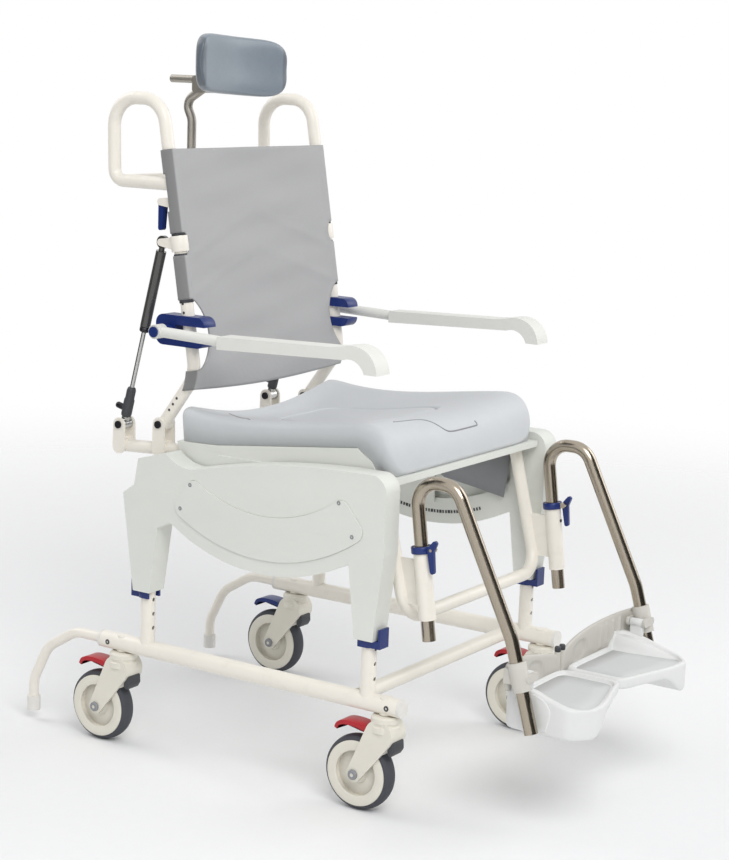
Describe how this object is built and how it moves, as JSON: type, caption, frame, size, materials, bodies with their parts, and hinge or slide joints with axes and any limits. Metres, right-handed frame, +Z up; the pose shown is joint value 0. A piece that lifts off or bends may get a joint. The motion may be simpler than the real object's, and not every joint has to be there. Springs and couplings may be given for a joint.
{
  "type": "wheeled tilt-and-recline shower chair",
  "caption": "Wheeled shower and toilet chair with a tilting seat, reclining back, headrest, swing-away legrests, armrests and braked castors.",
  "frame": {"origin": "centre of the footprint box on the floor", "axes": "+Z up, the sitter faces -Y, the sitter's left is +X"},
  "size_m": [0.568, 1.09, 1.228],
  "materials": {
    "ivory_paint": "satin powder coat",
    "frame_plastic": "fine moulded grain",
    "white_plastic": "moulded",
    "blue_plastic": "moulded",
    "red_plastic": "moulded",
    "grey_plastic": "moulded",
    "dark_plastic": "moulded",
    "tyre_rubber": "matt",
    "tip_rubber": "matt",
    "steel": "brushed",
    "strut_black": "gloss black",
    "foam": "integral-skin foam",
    "head_foam": "integral-skin foam",
    "cloth": "woven mesh"
  },
  "bodies": {
    "chassis": {"base_rail_right": "ivory_paint", "base_rail_left": "ivory_paint", "base_cross_tube": "ivory_paint", "anti_tippers": "ivory_paint", "rail_caps": "tip_rubber"},
    "upper": {"side_frame_right": "frame_plastic", "side_frame_left": "frame_plastic", "side_covers": "frame_plastic"},
    "clips_front": {"leg_clips_front": "blue_plastic"},
    "clips_rear": {"leg_clips_rear": "blue_plastic"},
    "seat": {"seat_frame": "ivory_paint", "seat_plate": "frame_plastic", "seat_pad": "foam", "tilt_carriages": "dark_plastic", "tilt_rollers": "grey_plastic", "pivot_bolts": "steel"},
    "insert": {"seat_insert": "foam"},
    "back": {"back_tube_right": "ivory_paint", "back_tube_left": "ivory_paint", "back_cross_tube": "ivory_paint", "back_cover": "cloth", "strut_brackets": "grey_plastic", "arm_clamp_right": "blue_plastic", "arm_clamp_left": "blue_plastic"},
    "strut_rods": {"strut_rods": "steel"},
    "strut_cylinders": {"strut_cylinders": "strut_black"},
    "headrest_post": {"headrest_post": "ivory_paint"},
    "headrest_rod": {"headrest_rod": "steel"},
    "headrest_pad": {"headrest_pad": "head_foam"},
    "headrest_knob": {"headrest_knob": "blue_plastic"},
    "armrest_right": {"armrest_right": "white_plastic"},
    "lever_right": {"squeeze_lever_right": "blue_plastic"},
    "legrest_right": {"legrest_right": "steel", "footplate_mount_right": "white_plastic", "heel_band_right": "white_plastic"},
    "footplate_right": {"footplate_right": "white_plastic"},
    "catch_right": {"leg_catch_right": "blue_plastic"},
    "fork_front_right": {"castor_fork_front_right": "white_plastic"},
    "wheel_front_right": {"castor_wheel_front_right": "white_plastic", "castor_tyre_front_right": "tyre_rubber"},
    "pedal_front_right": {"castor_pedal_front_right": "red_plastic"},
    "fork_rear_right": {"castor_fork_rear_right": "white_plastic"},
    "wheel_rear_right": {"castor_wheel_rear_right": "white_plastic", "castor_tyre_rear_right": "tyre_rubber"},
    "pedal_rear_right": {"castor_pedal_rear_right": "red_plastic"},
    "armrest_left": {"armrest_left": "white_plastic"},
    "lever_left": {"squeeze_lever_left": "blue_plastic"},
    "legrest_left": {"legrest_left": "steel", "footplate_mount_left": "white_plastic", "heel_band_left": "white_plastic"},
    "footplate_left": {"footplate_left": "white_plastic"},
    "catch_left": {"leg_catch_left": "blue_plastic"},
    "fork_front_left": {"castor_fork_front_left": "white_plastic"},
    "wheel_front_left": {"castor_wheel_front_left": "white_plastic", "castor_tyre_front_left": "tyre_rubber"},
    "pedal_front_left": {"castor_pedal_front_left": "red_plastic"},
    "fork_rear_left": {"castor_fork_rear_left": "white_plastic"},
    "wheel_rear_left": {"castor_wheel_rear_left": "white_plastic", "castor_tyre_rear_left": "tyre_rubber"},
    "pedal_rear_left": {"castor_pedal_rear_left": "blue_plastic"}
  },
  "joints": [
    {"name": "height", "type": "slide", "parent": "chassis", "child": "upper", "axis": [0, 0, 1], "range_m": [-0.075, 0.05]},
    {"name": "tilt", "type": "hinge", "parent": "upper", "child": "seat", "pos_m": [0, 0.018, 0.71], "axis": [-1, 0, 0], "range_deg": [0, 30]},
    {"name": "recline", "type": "hinge", "parent": "seat", "child": "back", "pos_m": [0, 0.278, 0.57], "axis": [-1, 0, 0], "range_deg": [0, 40]},
    {"name": "strut_swing", "type": "hinge", "parent": "seat", "child": "strut_rods", "pos_m": [0, 0.366, 0.559], "axis": [-1, 0, 0], "range_deg": [0, 39]},
    {"name": "strut_stroke", "type": "slide", "parent": "strut_rods", "child": "strut_cylinders", "axis": [0, -0.2418, 0.9703], "range_m": [-0.06074, 0]},
    {"name": "clip_pull_front", "type": "slide", "parent": "upper", "child": "clips_front", "axis": [0, -1, 0], "range_m": [0, 0.014]},
    {"name": "clip_pull_rear", "type": "slide", "parent": "upper", "child": "clips_rear", "axis": [0, 1, 0], "range_m": [0, 0.014]},
    {"name": "insert_lift", "type": "slide", "parent": "seat", "child": "insert", "axis": [0, 0, 1], "range_m": [0, 0.08]},
    {"name": "arm_fold_right", "type": "hinge", "parent": "back", "child": "armrest_right", "pos_m": [-0.258, 0.258, 0.735], "axis": [-1, 0, 0], "range_deg": [0, 95]},
    {"name": "lever_squeeze_right", "type": "hinge", "parent": "back", "child": "lever_right", "pos_m": [-0.214, 0.287, 0.948], "axis": [1, 0, 0], "range_deg": [0, 20], "stiffness_Nm_per_rad": 0.6},
    {"name": "legrest_swing_right", "type": "hinge", "parent": "seat", "child": "legrest_right", "pos_m": [-0.217, -0.267, 0.323], "axis": [0, -0.1392, -0.9903], "range_deg": [0, 90]},
    {"name": "footplate_fold_right", "type": "hinge", "parent": "legrest_right", "child": "footplate_right", "pos_m": [-0.194, -0.43774, 0.262], "axis": [0, -1, 0], "range_deg": [0, 90]},
    {"name": "catch_release_right", "type": "hinge", "parent": "legrest_right", "child": "catch_right", "pos_m": [-0.217, -0.27302, 0.43826], "axis": [-1, 0, 0], "range_deg": [0, 25]},
    {"name": "swivel_front_right", "type": "hinge", "parent": "chassis", "child": "fork_front_right", "pos_m": [-0.258, -0.222, 0.15], "axis": [0, 0, 1], "continuous": true},
    {"name": "roll_front_right", "type": "hinge", "parent": "fork_front_right", "child": "wheel_front_right", "pos_m": [-0.258, -0.177, 0.0625], "axis": [1, 0, 0], "continuous": true},
    {"name": "brake_front_right", "type": "hinge", "parent": "fork_front_right", "child": "pedal_front_right", "pos_m": [-0.258, -0.198, 0.138], "axis": [-1, 0, 0], "range_deg": [0, 10]},
    {"name": "swivel_rear_right", "type": "hinge", "parent": "chassis", "child": "fork_rear_right", "pos_m": [-0.258, 0.324, 0.15], "axis": [0, 0, 1], "continuous": true},
    {"name": "roll_rear_right", "type": "hinge", "parent": "fork_rear_right", "child": "wheel_rear_right", "pos_m": [-0.258, 0.369, 0.0625], "axis": [1, 0, 0], "continuous": true},
    {"name": "brake_rear_right", "type": "hinge", "parent": "fork_rear_right", "child": "pedal_rear_right", "pos_m": [-0.258, 0.348, 0.138], "axis": [-1, 0, 0], "range_deg": [0, 10]},
    {"name": "arm_fold_left", "type": "hinge", "parent": "back", "child": "armrest_left", "pos_m": [0.258, 0.258, 0.735], "axis": [-1, 0, 0], "range_deg": [0, 95]},
    {"name": "lever_squeeze_left", "type": "hinge", "parent": "back", "child": "lever_left", "pos_m": [0.214, 0.287, 0.948], "axis": [1, 0, 0], "range_deg": [0, 20], "stiffness_Nm_per_rad": 0.6},
    {"name": "legrest_swing_left", "type": "hinge", "parent": "seat", "child": "legrest_left", "pos_m": [0.217, -0.267, 0.323], "axis": [0, 0.1392, 0.9903], "range_deg": [0, 90]},
    {"name": "footplate_fold_left", "type": "hinge", "parent": "legrest_left", "child": "footplate_left", "pos_m": [0.194, -0.43774, 0.262], "axis": [0, 1, 0], "range_deg": [0, 90]},
    {"name": "catch_release_left", "type": "hinge", "parent": "legrest_left", "child": "catch_left", "pos_m": [0.217, -0.27302, 0.43826], "axis": [-1, 0, 0], "range_deg": [0, 25]},
    {"name": "swivel_front_left", "type": "hinge", "parent": "chassis", "child": "fork_front_left", "pos_m": [0.258, -0.222, 0.15], "axis": [0, 0, 1], "continuous": true},
    {"name": "roll_front_left", "type": "hinge", "parent": "fork_front_left", "child": "wheel_front_left", "pos_m": [0.258, -0.177, 0.0625], "axis": [1, 0, 0], "continuous": true},
    {"name": "brake_front_left", "type": "hinge", "parent": "fork_front_left", "child": "pedal_front_left", "pos_m": [0.258, -0.198, 0.138], "axis": [-1, 0, 0], "range_deg": [0, 10]},
    {"name": "swivel_rear_left", "type": "hinge", "parent": "chassis", "child": "fork_rear_left", "pos_m": [0.258, 0.324, 0.15], "axis": [0, 0, 1], "continuous": true},
    {"name": "roll_rear_left", "type": "hinge", "parent": "fork_rear_left", "child": "wheel_rear_left", "pos_m": [0.258, 0.369, 0.0625], "axis": [1, 0, 0], "continuous": true},
    {"name": "brake_rear_left", "type": "hinge", "parent": "fork_rear_left", "child": "pedal_rear_left", "pos_m": [0.258, 0.348, 0.138], "axis": [-1, 0, 0], "range_deg": [0, 10]},
    {"name": "head_height", "type": "slide", "parent": "back", "child": "headrest_post", "axis": [0, 0, 1], "range_m": [-0.03, 0.05]},
    {"name": "head_depth", "type": "slide", "parent": "headrest_post", "child": "headrest_rod", "axis": [0, -1, 0], "range_m": [0, 0.04]},
    {"name": "head_tilt", "type": "hinge", "parent": "headrest_rod", "child": "headrest_pad", "pos_m": [0, 0.343, 1.15], "axis": [-1, 0, 0], "range_deg": [-20, 20]},
    {"name": "head_lock", "type": "hinge", "parent": "headrest_pad", "child": "headrest_knob", "pos_m": [-0.024, 0.343, 1.15], "axis": [-1, 0, 0], "range_deg": [0, 90]}
  ],
  "couplings": [
    {"joint": "strut_swing", "follows": "recline", "ratio": 0.975},
    {"joint": "strut_stroke", "follows": "recline", "m_per_rad": -0.087}
  ]
}
